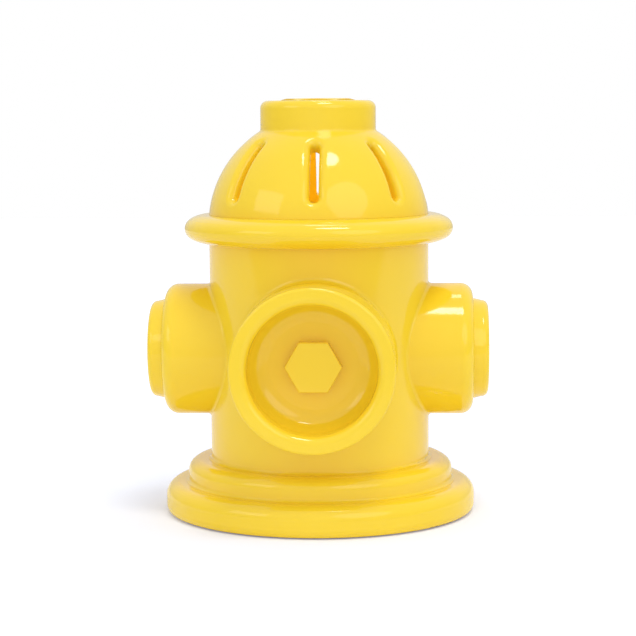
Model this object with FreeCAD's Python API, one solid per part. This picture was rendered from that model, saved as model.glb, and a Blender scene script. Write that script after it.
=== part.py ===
"""Toy fire hydrant: a hollow treat-dispensing dog toy moulded in thick yellow plastic.

Part frame: +Z up, origin on the axis of the barrel at the plane the toy stands on.
The front port faces -Y and the two side ports face -X and +X.  Millimetres throughout.

Build on the bench, bottom to top: rubber foot pad, floor plate with four screws,
foot ring, step ring, barrel with three port collars, two push-in port caps,
a bolted-in front cup, then the screw-off bonnet: seal, threaded flange, slotted dome,
top knob and its hex bolt.
"""
import FreeCAD
import Part
import math
import os

V = FreeCAD.Vector

# ---------------------------------------------------------------- driving dimensions
CLR = 0.05                 # assembly clearance between pieces that plug together

# foot pad and floor plate
PAD_R, PAD_T = 43.1, 1.5
FLOOR_R, FLOOR_TOP = 43.2, 4.0
FLOOR_PLUG_R, FLOOR_PLUG_TOP = 28.8, 7.0

# foot ring (lower flange)
FOOT_R, FOOT_Z0, FOOT_Z1 = 47.3, 0.3, 9.43
FOOT_TOP_EDGE = (4.0, 4.2)       # radial, axial size of the rounded top edge
FOOT_BOT_EDGE = (1.6, 2.2)
FOOT_RECESS_R = 43.3

# step ring (upper flange of the base)
STEP_R, STEP_Z1 = 40.4, 16.2
STEP_TOP_EDGE = (4.0, 3.4)
COVE, COVE_LIP = 0.9, 0.12         # hollow root where a wall stands on the ring below it

# barrel
BARREL_R, BARREL_BORE = 33.4, 28.9
SPIGOT_R = 32.0                  # lower end, inside the two rings
SHOULDER_Z = 82.2                # where the bonnet's flange comes down to
NECK_R, NECK_BORE, NECK_Z1 = 26.8, 23.8, 92.4
SIDE_PORT_Z, FRONT_PORT_Z = 49.5, 48.95   # heights of the port axes

# side port collars and caps
COLLAR_R, COLLAR_X, COLLAR_EDGE = 19.95, 46.8, 3.8
CAP_R, CAP_R_TIP, CAP_X, CAP_EDGE = 15.35, 14.7, 51.4, 1.9
CAP_BORE_X = 36.5                # bottom of the blind bore that takes the cap
CAP_WALL = 2.8
JUNCTION_FILLET = 0.9

# front port and cup
CUP_R, CUP_FACE_Y, CUP_RIM_T = 23.7, 51.3, 2.4
CUP_MOUTH_R, CUP_FLOOR_Y, CUP_FLOOR_FILLET = 18.7, 38.0, 6.0
CUP_WALL, CUP_LIP, CUP_RIM_EDGE = 2.3, 2.2, 0.8
CUP_FLOOR_T = 2.4
FRONT_JUNCTION_FILLET = 1.6

# hex bolt in the cup
CUP_HEX_AF, CUP_HEX_FACE_Y = 14.4, 42.0
CUP_SHANK_R, CUP_SHANK_END_Y = 3.4, 30.2

# bonnet
FLANGE_R, FLANGE_Z0, FLANGE_Z1 = 40.8, 82.27, 90.75
FLANGE_EDGE = 6.3                # radial size of the half-round rim
FLANGE_BORE = 28.65
SLEEVE_R, SLEEVE_Z1 = 30.1, 90.0
DOME_R, DOME_CZ, DOME_WALL = 33.5, 87.35, 4.2
DOME_Z0, DOME_SEAT_R = 86.9, 33.3   # the dome drops into the flange on a straight seat
DECK_Z, DECK_UNDER = 117.0, 112.5  # flat plinth on top of the dome that carries the knob
PLINTH_FILLET = 0.9
SLOT_TURNS = (0.0, 49.0, 90.0, 131.0, 181.1, 229.0, 270.0, 311.0)   # from the front, in degrees
SLOT_W = 2.65
SLOT_LOW_DEG, SLOT_HIGH_DEG, SLOT_EDGE = 15.0, 49.2, 2.2

# screw thread of the bonnet: three short ridges on the neck, three lugs in the flange
THREAD_STARTS, THREAD_LEAD = 3, 18.0
RIDGE_R, RIDGE_HALF, RIDGE_Z, RIDGE_ARC = 28.3, 0.8, 85.3, 100.0
LUG_R, LUG_HALF, LUG_GAP, LUG_FROM, LUG_ARC = 27.15, 0.9, 0.3, 35.0, 30.0

# seal under the flange
SEAL_R0, SEAL_R1, SEAL_Z1 = 29.5, 31.7, 83.65

# knob and its bolt
KNOB_R, KNOB_Z1, KNOB_EDGE = 17.48, 124.95, 2.3
KNOB_WALL = 2.8
TOP_HEX_AF, TOP_HEX_Z1, TOP_HEX_SEAT = 19.9, 125.55, 123.0
TOP_SHANK_R, TOP_SHANK_END = 2.7, 114.0

# floor screws
SCREW_PCR, SCREW_COUNT = 25.6, 4
SCREW_R, SCREW_HEAD_R, SCREW_HEAD_T, SCREW_END = 1.5, 2.8, 2.0, 16.0
BOSS_R, BOSS_Z1 = 3.6, 20.0


# ---------------------------------------------------------------- helpers
def line(a, b):
    return Part.LineSegment(V(a[0], a[1], 0), V(b[0], b[1], 0)).toShape()


def quarter(cx, cy, rx, ry, a0, a1):
    """Rounded corner rx wide and ry high, from angle a0 to a1: one arc if round, else two tangent arcs."""
    q0 = min(a0, a1)
    sx = 1 if q0 in (-90, 0) else -1
    sy = 1 if q0 in (0, 90) else -1

    def arc(mx, my, r, t0, t1):
        t0, t1 = math.radians(t0), math.radians(t1)
        p = [V(cx + sx * (mx + r * math.cos(t)), cy + sy * (my + r * math.sin(t)), 0) for t in (t0, (t0 + t1) / 2, t1)]
        return Part.Arc(p[0], p[1], p[2]).toShape()

    if abs(rx - ry) < 1e-9:
        return [arc(0, 0, rx, 0, 90)]
    a, b = max(rx, ry), min(rx, ry)
    h = math.hypot(a, b)
    small = h * (h - (a - b)) / (2 * a)
    large = h * (h + (a - b)) / (2 * b)
    t = math.degrees(math.atan2(large - b, a - small))     # where the two arcs meet
    if rx > ry:
        return [arc(a - small, 0, small, 0, t), arc(0, b - large, large, t, 90)]
    return [arc(b - large, 0, large, 0, 90 - t), arc(0, a - small, small, 90 - t, 90)]


def revolve(edges):
    """Solid of revolution about Z of a closed profile drawn as (radius, height)."""
    w = Part.Wire(Part.__sortEdges__(edges))
    s = Part.Face(w).revolve(V(0, 0, 0), V(0, 1, 0), 360)
    s.rotate(V(0, 0, 0), V(1, 0, 0), 90)
    s = Part.Solid(s.Shells[0]) if s.ShapeType != "Solid" else s
    if s.Volume < 0:
        s.reverse()
    return s


def poly_revolve(points):
    pts = list(points)
    return revolve([line(pts[i], pts[(i + 1) % len(pts)]) for i in range(len(pts))])


def cyl(r, z0, z1, x=0.0, y=0.0):
    return Part.makeCylinder(r, z1 - z0, V(x, y, z0), V(0, 0, 1))


def hex_prism(af, z0, z1, turn=0.0):
    r = af / math.sqrt(3)
    pts = [V(r * math.cos(math.radians(60 * k + turn)), r * math.sin(math.radians(60 * k + turn)), z0) for k in range(7)]
    return Part.Face(Part.makePolygon(pts)).extrude(V(0, 0, z1 - z0))


def to_port(shape, azimuth):
    """A shape made along +Z is laid along the port direction at that azimuth and raised to that port's axis."""
    s = shape.copy()
    s.rotate(V(0, 0, 0), V(0, 1, 0), 90)          # +Z becomes +X
    s.rotate(V(0, 0, 0), V(0, 0, 1), azimuth)
    s.translate(V(0, 0, FRONT_PORT_Z if azimuth == -90 else SIDE_PORT_Z))
    return s


def helical_bar(r0, r1, half, z0, arc, start):
    """A bar between radii r0 and r1, 2*half high, climbing along the thread's lead over an arc in degrees."""
    turns = arc / 360.0
    helix = Part.makeHelix(THREAD_LEAD, THREAD_LEAD * turns, (r0 + r1) / 2.0)
    prof = Part.makePolygon([V(r0, 0, -half), V(r1, 0, -half), V(r1, 0, half), V(r0, 0, half), V(r0, 0, -half)])
    s = Part.Wire(helix).makePipeShell([prof], True, True)
    s = Part.Solid(s.Shells[0]) if s.ShapeType != "Solid" else s
    if s.Volume < 0:
        s.reverse()
    s.translate(V(0, 0, z0))
    s.rotate(V(0, 0, 0), V(0, 0, 1), start)
    return s


def largest(shape):
    return max(shape.Solids, key=lambda s: s.Volume)


def clean(shape):
    s = shape.removeSplitter()
    if len(s.Solids) == 1:
        return s.Solids[0]
    return s


def edges_near(shape, test):
    return [e for e in shape.Edges if test(e)]


def save(name, shape):
    os.makedirs("parts", exist_ok=True)
    if not shape.isValid():
        print("INVALID", name)
    shape.exportStep(os.path.join("parts", name + ".step"))
    bb = shape.BoundBox
    print("%-22s solids %d vol %.1f  x %.2f %.2f  y %.2f %.2f  z %.2f %.2f" % (
        name, len(shape.Solids), shape.Volume, bb.XMin, bb.XMax, bb.YMin, bb.YMax, bb.ZMin, bb.ZMax))


# ---------------------------------------------------------------- base
def foot_pad():
    s = cyl(PAD_R, 0, PAD_T)
    for r in (38.5, 33.0):                         # two grip grooves in the underside
        s = s.cut(cyl(r + 0.8, 0, 0.7).cut(cyl(r - 0.8, 0, 0.7)))
    return clean(s)


def screw_places():
    return [(SCREW_PCR * math.cos(math.radians(45 + 90 * k)), SCREW_PCR * math.sin(math.radians(45 + 90 * k)))
            for k in range(SCREW_COUNT)]


def floor_plate():
    s = cyl(FLOOR_R, PAD_T, FLOOR_TOP).fuse(cyl(FLOOR_PLUG_R, FLOOR_TOP, FLOOR_PLUG_TOP))
    s = clean(s)
    s = s.cut(cyl(18.0, PAD_T, FLOOR_PLUG_TOP - 2.5))   # cored underside
    for x, y in screw_places():
        s = s.cut(cyl(SCREW_HEAD_R + 0.3, PAD_T, 4.1, x, y)).cut(cyl(SCREW_R + 0.2, 4.1, FLOOR_PLUG_TOP, x, y))
    return clean(s)


def floor_screws():
    out = []
    for x, y in screw_places():
        head = cyl(SCREW_HEAD_R, 4.1 - SCREW_HEAD_T, 4.1, x, y)
        head = head.makeFillet(0.6, [e for e in head.Edges if abs(e.BoundBox.ZMax - (4.1 - SCREW_HEAD_T)) < 0.01 and e.Length > 5])
        slot = Part.makeBox(3.2, 0.8, 0.9, V(x - 1.6, y - 0.4, 4.1 - SCREW_HEAD_T))
        slot2 = Part.makeBox(0.8, 3.2, 0.9, V(x - 0.4, y - 1.6, 4.1 - SCREW_HEAD_T))
        shank = cyl(SCREW_R, 4.1, SCREW_END - 1.5, x, y)
        tip = Part.makeCone(SCREW_R, 0.5, 1.5, V(x, y, SCREW_END - 1.5), V(0, 0, 1))
        out.append(clean(head.fuse([shank, tip]).cut(slot).cut(slot2)))
    return Part.makeCompound(out)


def foot_ring():
    tx, tz = FOOT_TOP_EDGE
    bx, bz = FOOT_BOT_EDGE
    r_in = SPIGOT_R + CLR
    e = [
        line((FOOT_RECESS_R, FOOT_Z0), (FOOT_R - bx, FOOT_Z0)),
        *quarter(FOOT_R - bx, FOOT_Z0 + bz, bx, bz, -90, 0),
        line((FOOT_R, FOOT_Z0 + bz), (FOOT_R, FOOT_Z1 - tz)),
        *quarter(FOOT_R - tx, FOOT_Z1 - tz, tx, tz, 0, 90),
        line((FOOT_R - tx, FOOT_Z1), (r_in, FOOT_Z1)),
        line((r_in, FOOT_Z1), (r_in, FLOOR_TOP)),
        line((r_in, FLOOR_TOP), (34.6, FLOOR_TOP)),
        line((34.6, FLOOR_TOP), (34.6, 6.7)),
        line((34.6, 6.7), (41.4, 6.7)),
        line((41.4, 6.7), (41.9, FLOOR_TOP)),
        line((41.9, FLOOR_TOP), (FOOT_RECESS_R, FLOOR_TOP)),
        line((FOOT_RECESS_R, FLOOR_TOP), (FOOT_RECESS_R, FOOT_Z0)),
    ]
    return revolve(e)


def step_ring():
    tx, tz = STEP_TOP_EDGE
    r_in = SPIGOT_R + CLR
    z0, zc = FOOT_Z1, FOOT_Z1 + COVE_LIP + COVE
    e = [
        line((STEP_R + COVE, z0), (38.0, z0)),
        line((38.0, z0), (37.6, 12.6)),
        line((37.6, 12.6), (34.8, 12.6)),
        line((34.8, 12.6), (34.6, z0)),
        line((34.6, z0), (r_in, z0)),
        line((r_in, z0), (r_in, STEP_Z1)),
        line((r_in, STEP_Z1), (STEP_R - tx, STEP_Z1)),
        *quarter(STEP_R - tx, STEP_Z1 - tz, tx, tz, 0, 90),
        line((STEP_R, STEP_Z1 - tz), (STEP_R, zc)),
        *quarter(STEP_R + COVE, zc, COVE, COVE, 180, 270),
        line((STEP_R + COVE, z0 + COVE_LIP), (STEP_R + COVE, z0)),
    ]
    return revolve(e)


# ---------------------------------------------------------------- barrel
def barrel_shell():
    zc = STEP_Z1 + COVE_LIP + COVE
    body = revolve([
        line((0, FLOOR_TOP), (SPIGOT_R, FLOOR_TOP)),
        line((SPIGOT_R, FLOOR_TOP), (SPIGOT_R, STEP_Z1)),
        line((SPIGOT_R, STEP_Z1), (BARREL_R + COVE, STEP_Z1)),
        line((BARREL_R + COVE, STEP_Z1), (BARREL_R + COVE, STEP_Z1 + COVE_LIP)),
        *quarter(BARREL_R + COVE, zc, COVE, COVE, 180, 270),
        line((BARREL_R, zc), (BARREL_R, SHOULDER_Z)),
        line((BARREL_R, SHOULDER_Z), (NECK_R, SHOULDER_Z)),
        line((NECK_R, SHOULDER_Z), (NECK_R, NECK_Z1)),
        line((NECK_R, NECK_Z1), (0, NECK_Z1)),
        line((0, NECK_Z1), (0, FLOOR_TOP)),
    ])
    # side collars, rounded at the mouth
    c = revolve([
        line((0, 5.0), (COLLAR_R, 5.0)),
        line((COLLAR_R, 5.0), (COLLAR_R, COLLAR_X - COLLAR_EDGE)),
        *quarter(COLLAR_R - COLLAR_EDGE, COLLAR_X - COLLAR_EDGE, COLLAR_EDGE, COLLAR_EDGE, 0, 90),
        line((COLLAR_R - COLLAR_EDGE, COLLAR_X), (0, COLLAR_X)),
        line((0, COLLAR_X), (0, 5.0)),
    ])
    front = cyl(CUP_R, 5.0, CUP_FACE_Y - CUP_RIM_T)
    outer = body.fuse([to_port(c, 0), to_port(c, 180), to_port(front, -90)])
    outer = clean(outer)

    def junction(e, az, rad):
        # an edge that lies on the barrel's wall and on the port's cylinder
        d = V(math.cos(math.radians(az)), math.sin(math.radians(az)), 0)
        n = 0
        for t in (0.1, 0.37, 0.63, 0.9):
            p = e.valueAt(e.FirstParameter + t * (e.LastParameter - e.FirstParameter))
            along = p.x * d.x + p.y * d.y
            if along < 5:
                return False
            off = math.hypot(-p.x * d.y + p.y * d.x, p.z - (FRONT_PORT_Z if az == -90 else SIDE_PORT_Z))
            if abs(off - rad) < 0.02 and abs(math.hypot(p.x, p.y) - BARREL_R) < 0.02:
                n += 1
        return n == 4

    side = edges_near(outer, lambda e: junction(e, 0, COLLAR_R) or junction(e, 180, COLLAR_R))
    frnt = edges_near(outer, lambda e: junction(e, -90, CUP_R))
    print("junction edges", len(side), len(frnt))
    outer = outer.makeFillet(JUNCTION_FILLET, side)
    frnt = edges_near(outer, lambda e: junction(e, -90, CUP_R))
    outer = outer.makeFillet(FRONT_JUNCTION_FILLET, frnt)

    # the chamber: cored from below, drawing in to the neck
    inner = poly_revolve([
        (0, FLOOR_TOP), (BARREL_BORE, FLOOR_TOP), (BARREL_BORE, 76.5), (NECK_BORE, SHOULDER_Z),
        (NECK_BORE, NECK_Z1), (0, NECK_Z1)])
    s = outer.cut(inner)
    # screw bosses
    ring = cyl(BARREL_R - 1.0, FLOOR_PLUG_TOP + CLR, BOSS_Z1 + 8)
    for x, y in screw_places():
        b = cyl(BOSS_R, FLOOR_PLUG_TOP + CLR, BOSS_Z1, x, y)
        b = b.fuse(Part.makeCone(BOSS_R, 0.6, 3.6, V(x, y, BOSS_Z1), V(0, 0, 1)))
        s = s.fuse(b.common(ring))
    s = clean(s)
    for x, y in screw_places():
        s = s.cut(cyl(SCREW_R + 0.03, FLOOR_PLUG_TOP, SCREW_END + 1.0, x, y))
    # blind bores of the side collars
    bore = cyl(CAP_R + CLR, CAP_BORE_X, COLLAR_X + 1)
    s = s.cut(to_port(bore, 0)).cut(to_port(bore, 180))
    # the front collar is a tube standing on the barrel's wall, with a boss for the cup's bolt
    tube = to_port(cyl(CUP_MOUTH_R + CUP_WALL + CLR, 20.0, CUP_FACE_Y), -90)
    tube = tube.cut(cyl(BARREL_R, 0, SHOULDER_Z))
    tube = tube.cut(to_port(cyl(6.2, 20.0, CUP_FLOOR_Y - CUP_FLOOR_T), -90))
    s = s.cut(tube)
    s = s.cut(to_port(cyl(CUP_SHANK_R + 0.03, CUP_SHANK_END_Y - 0.2, CUP_FACE_Y), -90))
    # thread ridges
    for k in range(THREAD_STARTS):
        s = s.fuse(helical_bar(NECK_R - 0.7, RIDGE_R, RIDGE_HALF, RIDGE_Z, RIDGE_ARC, 120.0 * k))
    return clean(s)


def side_cap(azimuth):
    x0, x1 = CAP_BORE_X + 0.3, CAP_X
    w = CAP_WALL
    dr = CAP_R - CAP_R_TIP
    e = [
        line((0, x1), (CAP_R_TIP - CAP_EDGE, x1)),
        *quarter(CAP_R_TIP - CAP_EDGE, x1 - CAP_EDGE, CAP_EDGE, CAP_EDGE, 0, 90),
        line((CAP_R_TIP, x1 - CAP_EDGE), (CAP_R, COLLAR_X)),
        line((CAP_R, COLLAR_X), (CAP_R, x0 + 0.6)),
        line((CAP_R, x0 + 0.6), (CAP_R - 0.6, x0)),
        line((CAP_R - 0.6, x0), (CAP_R - w, x0)),
        line((CAP_R - w, x0), (CAP_R - w - dr, x1 - w - 1.2)),
        *quarter(CAP_R - w - dr - 1.2, x1 - w - 1.2, 1.2, 1.2, 0, 90),
        line((CAP_R - w - dr - 1.2, x1 - w), (0, x1 - w)),
        line((0, x1 - w), (0, x1)),
    ]
    return to_port(revolve(e), azimuth)


def front_cup():
    y1, yf = CUP_FACE_Y, CUP_FLOOR_Y
    yr = y1 - CUP_RIM_T
    ro = CUP_MOUTH_R + CUP_WALL
    f, g = CUP_FLOOR_FILLET, CUP_FLOOR_FILLET + 1.2
    yb = yf - CUP_FLOOR_T
    e = [
        line((0, yf), (CUP_MOUTH_R - f, yf)),
        *quarter(CUP_MOUTH_R - f, yf + f, f, f, -90, 0),
        line((CUP_MOUTH_R, yf + f), (CUP_MOUTH_R, y1 - CUP_LIP)),
        *quarter(CUP_MOUTH_R + CUP_LIP, y1 - CUP_LIP, CUP_LIP, CUP_LIP, 90, 180),
        line((CUP_MOUTH_R + CUP_LIP, y1), (CUP_R - CUP_RIM_EDGE, y1)),
        *quarter(CUP_R - CUP_RIM_EDGE, y1 - CUP_RIM_EDGE, CUP_RIM_EDGE, CUP_RIM_EDGE, 0, 90),
        line((CUP_R, y1 - CUP_RIM_EDGE), (CUP_R, yr)),
        line((CUP_R, yr), (ro, yr)),
        line((ro, yr), (ro, yb + g)),
        *quarter(ro - g, yb + g, g, g, -90, 0),
        line((ro - g, yb), (0, yb)),
        line((0, yb), (0, yf)),
    ]
    s = revolve(e).cut(cyl(CUP_SHANK_R + 0.15, yb - 1, yf + 1))
    return to_port(clean(s), -90)


def cup_hex_bolt():
    head = hex_prism(CUP_HEX_AF, CUP_FLOOR_Y, CUP_HEX_FACE_Y, 90.0)
    head = head.makeFillet(0.35, [e for e in head.Edges if abs(e.BoundBox.ZMin - CUP_HEX_FACE_Y) < 0.01])
    shank = cyl(CUP_SHANK_R, CUP_SHANK_END_Y, CUP_FLOOR_Y)
    shank = shank.makeChamfer(0.6, [e for e in shank.Edges if abs(e.BoundBox.ZMax - CUP_SHANK_END_Y) < 0.01 and e.Length > 5])
    return to_port(clean(head.fuse(shank)), -90)


# ---------------------------------------------------------------- bonnet
def bonnet_seal():
    s = cyl(SEAL_R1, SHOULDER_Z, SEAL_Z1).cut(cyl(SEAL_R0, SHOULDER_Z, SEAL_Z1))
    return clean(s)


def bonnet_flange():
    hz = (FLANGE_Z1 - FLANGE_Z0) / 2.0
    zc = (FLANGE_Z1 + FLANGE_Z0) / 2.0
    rs = DOME_SEAT_R + CLR
    e = [
        line((FLANGE_BORE, FLANGE_Z0), (SEAL_R0 - 0.1, FLANGE_Z0)),
        line((SEAL_R0 - 0.1, FLANGE_Z0), (SEAL_R0 - 0.1, SEAL_Z1)),
        line((SEAL_R0 - 0.1, SEAL_Z1), (SEAL_R1 + 0.1, SEAL_Z1)),
        line((SEAL_R1 + 0.1, SEAL_Z1), (SEAL_R1 + 0.1, FLANGE_Z0)),
        line((SEAL_R1 + 0.1, FLANGE_Z0), (FLANGE_R - FLANGE_EDGE, FLANGE_Z0)),
        *quarter(FLANGE_R - FLANGE_EDGE, zc, FLANGE_EDGE, hz, -90, 0),
        *quarter(FLANGE_R - FLANGE_EDGE, zc, FLANGE_EDGE, hz, 0, 90),
        line((FLANGE_R - FLANGE_EDGE, FLANGE_Z1), (rs, FLANGE_Z1)),
        line((rs, FLANGE_Z1), (rs, DOME_Z0)),
        line((rs, DOME_Z0), (SLEEVE_R, DOME_Z0)),
        line((SLEEVE_R, DOME_Z0), (SLEEVE_R, SLEEVE_Z1 - 0.5)),
        line((SLEEVE_R, SLEEVE_Z1 - 0.5), (SLEEVE_R - 0.5, SLEEVE_Z1)),
        line((SLEEVE_R - 0.5, SLEEVE_Z1), (FLANGE_BORE, SLEEVE_Z1)),
        line((FLANGE_BORE, SLEEVE_Z1), (FLANGE_BORE, FLANGE_Z0)),
    ]
    s = revolve(e)
    z = RIDGE_Z + THREAD_LEAD * LUG_FROM / 360.0 - (RIDGE_HALF + LUG_HALF + LUG_GAP)
    for k in range(THREAD_STARTS):
        s = s.fuse(helical_bar(LUG_R, FLANGE_BORE + 0.7, LUG_HALF, z, LUG_ARC, 120.0 * k + LUG_FROM))
    return clean(s)


def bonnet_dome():
    c = V(0, 0, DOME_CZ)
    ri = DOME_R - DOME_WALL
    # outside: ball, with a short round plinth standing on it
    ball = Part.makeSphere(DOME_R, c).common(cyl(DOME_R + 5, DOME_Z0, DOME_CZ + DOME_R + 1))
    ball = ball.cut(cyl(DOME_R + 5, DECK_Z - 0.4, DOME_CZ + DOME_R + 1))
    ball = ball.common(cyl(DOME_SEAT_R, DOME_Z0, DOME_CZ + DOME_R))
    outer = clean(ball.fuse(cyl(KNOB_R, DECK_Z - 8.0, DECK_Z)))
    outer = outer.cut(cyl(DOME_R + 5, DECK_Z, DOME_CZ + DOME_R + 5))
    zr = DOME_CZ + math.sqrt(DOME_R ** 2 - KNOB_R ** 2)
    root = [e for e in outer.Edges if abs(e.BoundBox.ZMin - zr) < 0.02 and abs(e.BoundBox.ZMax - zr) < 0.02 and e.Length > 50]
    print("plinth root edges", len(root))
    outer = outer.makeFillet(PLINTH_FILLET, root)
    inner = Part.makeSphere(ri, c)
    band_in = cyl(DOME_R + 5, DOME_Z0 - 5, DECK_UNDER)
    s = outer.cut(inner.common(band_in))
    s = largest(s)
    # rebate that locates the flange's sleeve
    s = s.cut(cyl(SLEEVE_R + 0.1, DOME_Z0 - 1, SLEEVE_Z1 + 0.1))
    # slots, cut square to the wall
    lo, hi = math.radians(SLOT_LOW_DEG), math.radians(SLOT_HIGH_DEG)
    half = SLOT_W / 2.0
    dlo = math.asin(half / DOME_R)
    r0, r1 = ri - 3.0, DOME_R + 2.0
    a0, a1 = lo + dlo, hi - dlo

    def pt(r, a):
        return V(r * math.cos(a), 0, DOME_CZ + r * math.sin(a))

    am = (a0 + a1) / 2
    wire = Part.Wire([
        Part.LineSegment(pt(r0, a0), pt(r1, a0)).toShape(),
        Part.Arc(pt(r1, a0), pt(r1, am), pt(r1, a1)).toShape(),
        Part.LineSegment(pt(r1, a1), pt(r0, a1)).toShape(),
        Part.Arc(pt(r0, a1), pt(r0, am), pt(r0, a0)).toShape(),
    ])
    slab = Part.Face(wire).extrude(V(0, SLOT_W, 0))
    slab.translate(V(0, -half, 0))
    ends = []
    for a in (a0, a1):
        d = V(math.cos(a), 0, math.sin(a))
        ends.append(Part.makeCylinder(half, r1 - r0, pt(r0, a), d))
    cutter = slab.fuse(ends)
    for turn in SLOT_TURNS:
        t = cutter.copy()
        t.rotate(V(0, 0, 0), V(0, 0, 1), turn - 90.0)
        s = s.cut(t)
    s = clean(s)

    def on_outer(e):
        for t in (0.1, 0.5, 0.9):
            p = e.valueAt(e.FirstParameter + t * (e.LastParameter - e.FirstParameter))
            if abs((p - c).Length - DOME_R) > 0.01:
                return False
            if p.z < DOME_Z0 + 3 or p.z > DECK_Z - 2.6:
                return False
        return True

    oe = edges_near(s, on_outer)
    print("slot edges", len(oe))
    s = s.makeFillet(SLOT_EDGE, oe)
    boss = cyl(5.6, DECK_Z - 0.5, 121.0)
    s = s.fuse(boss).cut(cyl(TOP_SHANK_R + 0.03, TOP_SHANK_END - 0.3, 122.0))
    return clean(s)


def top_knob():
    w = KNOB_WALL
    e = [
        line((0, TOP_HEX_SEAT - 2.0), (6.2, TOP_HEX_SEAT - 2.0)),
        line((6.2, TOP_HEX_SEAT - 2.0), (KNOB_R - w - 1.0, TOP_HEX_SEAT - 2.0)),
        *quarter(KNOB_R - w - 1.0, TOP_HEX_SEAT - 3.0, 1.0, 1.0, 0, 90),
        line((KNOB_R - w, TOP_HEX_SEAT - 3.0), (KNOB_R - w, DECK_Z)),
        line((KNOB_R - w, DECK_Z), (KNOB_R, DECK_Z)),
        line((KNOB_R, DECK_Z), (KNOB_R, KNOB_Z1 - KNOB_EDGE)),
        *quarter(KNOB_R - KNOB_EDGE, KNOB_Z1 - KNOB_EDGE, KNOB_EDGE, KNOB_EDGE, 0, 90),
        line((KNOB_R - KNOB_EDGE, KNOB_Z1), (0, KNOB_Z1)),
        line((0, KNOB_Z1), (0, TOP_HEX_SEAT - 2.0)),
    ]
    s = revolve(e)
    s = s.cut(hex_prism(TOP_HEX_AF + 0.3, TOP_HEX_SEAT, KNOB_Z1 + 1))
    s = s.cut(cyl(TOP_SHANK_R + 0.15, TOP_HEX_SEAT - 3, TOP_HEX_SEAT + 1))
    return clean(s)


def top_hex_bolt():
    corner = TOP_HEX_AF / math.sqrt(3)
    head = hex_prism(TOP_HEX_AF, TOP_HEX_SEAT, TOP_HEX_Z1)
    crown = poly_revolve([(0, TOP_HEX_SEAT), (corner + 1, TOP_HEX_SEAT), (corner + 1, TOP_HEX_Z1 - 0.9),
                          (TOP_HEX_AF / 2 - 0.3, TOP_HEX_Z1), (0, TOP_HEX_Z1)])
    head = head.common(crown)
    shank = cyl(TOP_SHANK_R, TOP_SHANK_END, TOP_HEX_SEAT)
    shank = shank.makeChamfer(0.5, [e for e in shank.Edges if abs(e.BoundBox.ZMax - TOP_SHANK_END) < 0.01 and e.Length > 5])
    return clean(head.fuse(shank))


save("foot_pad", foot_pad())
save("floor_plate", floor_plate())
save("floor_screws", floor_screws())
save("foot_ring", foot_ring())
save("step_ring", step_ring())
save("barrel_shell", barrel_shell())
save("left_port_cap", side_cap(180))
save("right_port_cap", side_cap(0))
save("front_cup", front_cup())
save("cup_hex_bolt", cup_hex_bolt())
save("bonnet_seal", bonnet_seal())
save("bonnet_flange", bonnet_flange())
save("bonnet_dome", bonnet_dome())
save("top_knob", top_knob())
save("top_hex_bolt", top_hex_bolt())
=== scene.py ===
import math

import bpy
from mathutils import Matrix, Quaternion, Vector

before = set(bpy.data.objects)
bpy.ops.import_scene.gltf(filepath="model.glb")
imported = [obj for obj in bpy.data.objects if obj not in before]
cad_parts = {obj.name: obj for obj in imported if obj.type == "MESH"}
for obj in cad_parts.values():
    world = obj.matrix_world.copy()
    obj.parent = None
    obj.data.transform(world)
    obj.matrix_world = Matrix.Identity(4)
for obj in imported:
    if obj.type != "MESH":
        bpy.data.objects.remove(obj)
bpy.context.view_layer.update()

MM = 0.001
scene = bpy.context.scene


# ---------------------------------------------------------------- node helpers
def new_material(name):
    m = bpy.data.materials.new(name)
    m.use_nodes = True
    m.node_tree.nodes.clear()
    return m, m.node_tree


def noise(nt, vec, scale, detail=3.0, rough=0.5, x=-900, y=0):
    n = nt.nodes.new("ShaderNodeTexNoise")
    n.location = (x, y)
    n.inputs["Scale"].default_value = scale
    n.inputs["Detail"].default_value = detail
    n.inputs["Roughness"].default_value = rough
    nt.links.new(vec, n.inputs["Vector"])
    return n.outputs["Fac"]


def remap(nt, value, lo, hi, a, b, x=-600, y=0):
    n = nt.nodes.new("ShaderNodeMapRange")
    n.location = (x, y)
    n.inputs["From Min"].default_value = lo
    n.inputs["From Max"].default_value = hi
    n.inputs["To Min"].default_value = a
    n.inputs["To Max"].default_value = b
    nt.links.new(value, n.inputs["Value"])
    return n.outputs["Result"]


def math_node(nt, op, a, b, x=-500, y=0):
    n = nt.nodes.new("ShaderNodeMath")
    n.operation = op
    n.location = (x, y)
    for i, v in enumerate((a, b)):
        if isinstance(v, (int, float)):
            n.inputs[i].default_value = v
        elif v is not None:
            nt.links.new(v, n.inputs[i])
    return n.outputs[0]


def mix_color(nt, fac, a, b, x=-300, y=0):
    n = nt.nodes.new("ShaderNodeMix")
    n.data_type = "RGBA"
    n.location = (x, y)
    nt.links.new(fac, n.inputs[0])
    for i, v in ((6, a), (7, b)):
        if isinstance(v, tuple):
            n.inputs[i].default_value = (*v, 1.0)
        else:
            nt.links.new(v, n.inputs[i])
    return n.outputs[2]


def bump(nt, height, strength, distance, normal=None, x=-200, y=-300):
    n = nt.nodes.new("ShaderNodeBump")
    n.location = (x, y)
    n.inputs["Strength"].default_value = strength
    n.inputs["Distance"].default_value = distance
    nt.links.new(height, n.inputs["Height"])
    if normal is not None:
        nt.links.new(normal, n.inputs["Normal"])
    return n.outputs["Normal"]


def finish_material(nt, color, rough, normal, **sockets):
    out = nt.nodes.new("ShaderNodeOutputMaterial")
    out.location = (400, 0)
    b = nt.nodes.new("ShaderNodeBsdfPrincipled")
    b.location = (100, 0)
    nt.links.new(color, b.inputs["Base Color"])
    nt.links.new(rough, b.inputs["Roughness"])
    nt.links.new(normal, b.inputs["Normal"])
    for k, v in sockets.items():
        b.inputs[k.replace("_", " ")].default_value = v
    nt.links.new(b.outputs["BSDF"], out.inputs["Surface"])
    return b


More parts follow.
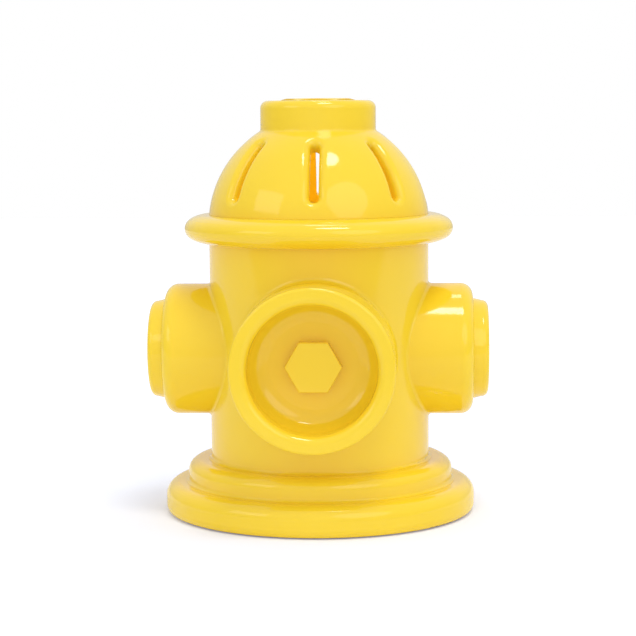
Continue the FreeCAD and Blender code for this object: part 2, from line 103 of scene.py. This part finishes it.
def object_coords(nt):
    t = nt.nodes.new("ShaderNodeTexCoord")
    t.location = (-1300, 0)
    return t.outputs["Object"]


# ---------------------------------------------------------------- materials
def yellow_plastic(name, base, deep, pale, seed):
    """Thick glossy moulded plastic: slight pigment cloudiness, faint flow waviness, fine handling scuffs."""
    m, nt = new_material(name)
    vec = object_coords(nt)
    mp = nt.nodes.new("ShaderNodeMapping")
    mp.location = (-1100, 0)
    mp.inputs["Location"].default_value = (seed, seed * 0.37, seed * 0.71)
    nt.links.new(vec, mp.inputs["Vector"])
    v = mp.outputs["Vector"]
    cloud = noise(nt, v, 34.0, 2.0, 0.5, y=200)
    swirl = noise(nt, v, 120.0, 3.0, 0.55, y=0)
    c1 = mix_color(nt, remap(nt, cloud, 0.35, 0.65, 0.0, 1.0, y=200), base, deep, y=200)
    c2 = mix_color(nt, remap(nt, swirl, 0.55, 0.85, 0.0, 0.45, y=60), c1, pale, x=-100, y=150)
    scuff = noise(nt, v, 900.0, 2.0, 0.6, y=-200)
    r0 = remap(nt, cloud, 0.3, 0.7, 0.060, 0.090, y=-120)
    r1 = remap(nt, scuff, 0.45, 0.8, 0.0, 0.02, y=-220)
    rough = math_node(nt, "ADD", r0, r1, y=-160)
    wave = noise(nt, v, 60.0, 1.0, 0.4, y=-420)
    fine = noise(nt, v, 1400.0, 2.0, 0.5, y=-560)
    n1 = bump(nt, wave, 0.10, 0.0006, y=-420)
    n2 = bump(nt, fine, 0.03, 0.00012, normal=n1, x=0, y=-520)
    b = finish_material(nt, c2, rough, n2, Specular_IOR_Level=0.5, IOR=1.5,
                        Subsurface_Weight=0.0, Subsurface_Scale=0.0015,
                        Coat_Weight=0.0)
    b.subsurface_method = "RANDOM_WALK"
    b.inputs["Subsurface Radius"].default_value = (1.0, 0.95, 0.40)
    return m


def rubber(name, dark, light):
    m, nt = new_material(name)
    v = object_coords(nt)
    cloud = noise(nt, v, 90.0, 3.0, 0.6, y=200)
    grain = noise(nt, v, 2600.0, 2.0, 0.6, y=-200)
    c = mix_color(nt, remap(nt, cloud, 0.35, 0.65, 0.0, 1.0, y=200), dark, light, y=200)
    rough = remap(nt, cloud, 0.3, 0.7, 0.62, 0.8, y=-100)
    finish_material(nt, c, rough, bump(nt, grain, 0.35, 0.0001), Specular_IOR_Level=0.4)
    return m


def zinc_steel(name):
    m, nt = new_material(name)
    v = object_coords(nt)
    cloud = noise(nt, v, 400.0, 3.0, 0.6, y=200)
    fine = noise(nt, v, 3800.0, 2.0, 0.5, y=-200)
    c = mix_color(nt, remap(nt, cloud, 0.3, 0.7, 0.0, 1.0, y=200), (0.52, 0.52, 0.54), (0.66, 0.65, 0.62), y=200)
    rough = remap(nt, cloud, 0.3, 0.7, 0.24, 0.42, y=-100)
    finish_material(nt, c, rough, bump(nt, fine, 0.2, 0.00005), Metallic=1.0)
    return m


YELLOW = (0.925, 0.660, 0.030)
DEEP = (0.917, 0.648, 0.026)
PALE = (0.930, 0.674, 0.036)
plastic_body = yellow_plastic("yellow_body_moulding", YELLOW, DEEP, PALE, 0.31)
plastic_bonnet = yellow_plastic("yellow_bonnet_moulding", YELLOW, DEEP, PALE, 0.77)
pad_rubber = rubber("foot_pad_rubber", (0.022, 0.021, 0.020), (0.036, 0.034, 0.032))
silicone = rubber("seal_silicone", (0.60, 0.58, 0.53), (0.70, 0.68, 0.63))
zinc = zinc_steel("zinc_plated_steel")

look = {
    "foot_pad": pad_rubber, "floor_screws": zinc, "bonnet_seal": silicone,
    "bonnet_flange": plastic_bonnet, "bonnet_dome": plastic_bonnet,
    "top_knob": plastic_bonnet, "top_hex_bolt": plastic_bonnet,
}
for node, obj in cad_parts.items():
    mat = look.get(node, plastic_body)
    for s in obj.material_slots:
        s.material = mat
    if not obj.material_slots:
        obj.data.materials.append(mat)

# ---------------------------------------------------------------- floor and surroundings
KEY, GLINT = 9.6, 15.0
INNER = 0.014
FLOOR_GLOW = 0.04
LIFT_NEAR, LIFT_FAR = (0.0, 0.045, 0.175), (0.20, 0.20, 0.28)   # near the toy it also evens out the yellow bounce
floor_mesh = bpy.data.meshes.new("studio_floor")
R, FRONT = 1.6, 0.34
floor_mesh.from_pydata([(-R, -FRONT, 0), (R, -FRONT, 0), (R, R, 0), (-R, R, 0)], [], [(0, 1, 2, 3)])
floor = bpy.data.objects.new("studio_floor", floor_mesh)
scene.collection.objects.link(floor)
m, nt = new_material("floor_white")
v = object_coords(nt)
cloud = noise(nt, v, 3.0, 2.0, 0.5)
c = mix_color(nt, remap(nt, cloud, 0.3, 0.7, 0.0, 1.0), (0.90, 0.90, 0.90), (0.91, 0.91, 0.91))
lit = finish_material(nt, c, remap(nt, cloud, 0.3, 0.7, 0.75, 0.85), bump(nt, cloud, 0.01, 0.0001), Specular_IOR_Level=0.0,
                      Emission_Color=(1.0, 1.0, 1.0, 1.0), Emission_Strength=FLOOR_GLOW)
# the sweep runs out to pure white: a lift for the eye only, which throws no light on the object
far = nt.nodes.new("ShaderNodeVectorMath")
far.operation = "LENGTH"
nt.links.new(v, far.inputs[0])
lift = mix_color(nt, remap(nt, far.outputs["Value"], 0.07, 0.42, 0.0, 1.0), LIFT_NEAR, LIFT_FAR)
eye = nt.nodes.new("ShaderNodeLightPath")
lift_glow = nt.nodes.new("ShaderNodeEmission")
nt.links.new(lift, lift_glow.inputs["Color"])
nt.links.new(eye.outputs["Is Camera Ray"], lift_glow.inputs["Strength"])
both = nt.nodes.new("ShaderNodeAddShader")
nt.links.new(lit.outputs[0], both.inputs[0])
nt.links.new(lift_glow.outputs[0], both.inputs[1])
nt.links.new(both.outputs[0], next(n for n in nt.nodes if n.type == "OUTPUT_MATERIAL").inputs["Surface"])
floor_mesh.materials.append(m)

# soft room light: a white tent, as a sum of broad lobes.  Each is (azimuth, elevation, the light it
# throws, how bright it looks in a reflection); azimuth 0 is the front, +X is 90
LOBES = {
    "top": (0, 90, 0.04, 0.27),
    "hi000": (0, 50, 0.26, 0.33), "hi045": (45, 50, 0.43, 0.32), "hi090": (90, 50, 0.31, 0.24), "hi135": (135, 50, 0.38, 0.26),
    "hi180": (180, 50, 0.31, 0.33), "hi225": (225, 50, 0.33, 0.33), "hi270": (270, 50, 0.26, 0.26), "hi315": (315, 50, 0.14, 0.33),
    "lo000": (0, 12, 0.69, 0.45), "lo045": (45, 12, 0.69, 0.44), "lo090": (90, 12, 0.25, 0.30), "lo135": (135, 12, 0.58, 0.50),
    "lo180": (180, 12, 0.46, 0.48), "lo225": (225, 12, 0.52, 0.46), "lo270": (270, 12, 0.42, 0.29), "lo315": (315, 12, 0.67, 0.51),
    "under": (0, -28, 0.53, 0.42),
}
LOBE_SHARPNESS = 6.0


def direction(az, el):
    a, e = math.radians(az), math.radians(el)
    return Vector((math.sin(a) * math.cos(e), -math.cos(a) * math.cos(e), math.sin(e)))


world = bpy.data.worlds.new("studio_world")
world.use_nodes = True
scene.world = world
wt = world.node_tree
wt.nodes.clear()
w_out = wt.nodes.new("ShaderNodeOutputWorld")
w_mix = wt.nodes.new("ShaderNodeMixShader")
w_path = wt.nodes.new("ShaderNodeLightPath")
w_seen = wt.nodes.new("ShaderNodeBackground")      # the white sweep behind the object
w_lit = wt.nodes.new("ShaderNodeBackground")       # the soft room light that falls on it
w_seen.inputs["Strength"].default_value = 1.0
w_seen.inputs["Color"].default_value = (1.0, 1.0, 1.0, 1.0)
w_lit.inputs["Color"].default_value = (1.0, 1.0, 1.0, 1.0)
w_dir = wt.nodes.new("ShaderNodeTexCoord")
thrown = mirrored = None
for lobe, (az, el, throw, mirror) in LOBES.items():
    dot = wt.nodes.new("ShaderNodeVectorMath")
    dot.operation = "DOT_PRODUCT"
    dot.inputs[1].default_value = direction(az, el)
    wt.links.new(w_dir.outputs["Generated"], dot.inputs[0])
    e = math_node(wt, "SUBTRACT", dot.outputs["Value"], 1.0)
    e = math_node(wt, "EXPONENT", math_node(wt, "MULTIPLY", e, LOBE_SHARPNESS), None)
    t = math_node(wt, "MULTIPLY", e, throw)
    g = math_node(wt, "MULTIPLY", e, mirror)
    t.node.name, g.node.name = "throw_" + lobe, "mirror_" + lobe
    thrown = t if thrown is None else math_node(wt, "ADD", thrown, t)
    mirrored = g if mirrored is None else math_node(wt, "ADD", mirrored, g)
w_pick = wt.nodes.new("ShaderNodeMix")
wt.links.new(w_path.outputs["Is Glossy Ray"], w_pick.inputs[0])
wt.links.new(thrown, w_pick.inputs[2])
wt.links.new(mirrored, w_pick.inputs[3])
wt.links.new(w_pick.outputs[0], w_lit.inputs["Strength"])
wt.links.new(w_path.outputs["Is Camera Ray"], w_mix.inputs[0])
wt.links.new(w_lit.outputs[0], w_mix.inputs[1])
wt.links.new(w_seen.outputs[0], w_mix.inputs[2])
wt.links.new(w_mix.outputs[0], w_out.inputs[0])


def soft_box(name, az, el, dist, w, h, radiance, target=(0, 0, 0.085), round_=False, gloss_only=False, spin=0.0):
    """Area light seen from the target at azimuth az and elevation el, w by h metres, turned by spin degrees."""
    d = direction(az, el)
    lamp = bpy.data.lights.new(name, "AREA")
    lamp.shape = "ELLIPSE" if round_ else "RECTANGLE"
    lamp.size, lamp.size_y = w, h
    lamp.energy = radiance * math.pi * w * h * (math.pi / 4 if round_ else 1.0)
    ob = bpy.data.objects.new(name, lamp)
    ob.location = Vector(target) + d * dist
    ob.rotation_euler = (d.to_track_quat("Z", "Y") @ Quaternion((0, 0, 1), math.radians(spin))).to_euler()
    ob.visible_diffuse = not gloss_only
    scene.collection.objects.link(ob)
    return ob


soft_box("key_top_right", 29, 73, 2.5, 0.82, 0.76, KEY, round_=True, spin=-15)
soft_box("key_glint", 29, 73, 2.5, 0.80, 0.74, GLINT, round_=True, gloss_only=True, spin=-15)
soft_box("fill_front_right", 35, 27, 1.2, 0.92, 0.80, 1.1, round_=True, gloss_only=True)
soft_box("window_left", -54, 22.8, 1.0, 0.52, 0.33, 1.3, gloss_only=True)
soft_box("back_top", 178, 70, 1.2, 0.24, 0.20, 5.0, gloss_only=True)

# daylight that comes through the thick translucent walls into the chamber, seen in the slots
glow = bpy.data.lights.new("light_through_walls", "POINT")
glow.shadow_soft_size = 0.012
glow.color = (1.0, 0.80, 0.30)
glow.energy = INNER
glow_ob = bpy.data.objects.new("light_through_walls", glow)
glow_ob.location = (0.0, 0.0, 0.096)
glow_ob.visible_camera = glow_ob.visible_glossy = False
scene.collection.objects.link(glow_ob)

# ---------------------------------------------------------------- camera
DIST, EYE, PITCH, FOCAL = 0.5961, 0.12248, math.radians(6.10), 1959.4
SIDE, ROLL, TURN = -0.000415, math.radians(-0.38), math.radians(2.6)
cam = bpy.data.cameras.new("camera")
cam.sensor_fit = "HORIZONTAL"
cam.sensor_width = 36.0
cam.lens = FOCAL / 636.0 * 36.0
cam.clip_start = 0.01
cam_ob = bpy.data.objects.new("camera", cam)
scene.collection.objects.link(cam_ob)
place = Matrix.Translation((SIDE, -DIST, EYE)) @ Matrix.Rotation(math.radians(90) - PITCH, 4, "X") @ Matrix.Rotation(ROLL, 4, "Z")
cam_ob.matrix_world = Matrix.Rotation(TURN, 4, "Z") @ place
scene.camera = cam_ob

scene.view_settings.view_transform = "Standard"
scene.view_settings.look = "None"
scene.view_settings.exposure = 0.0
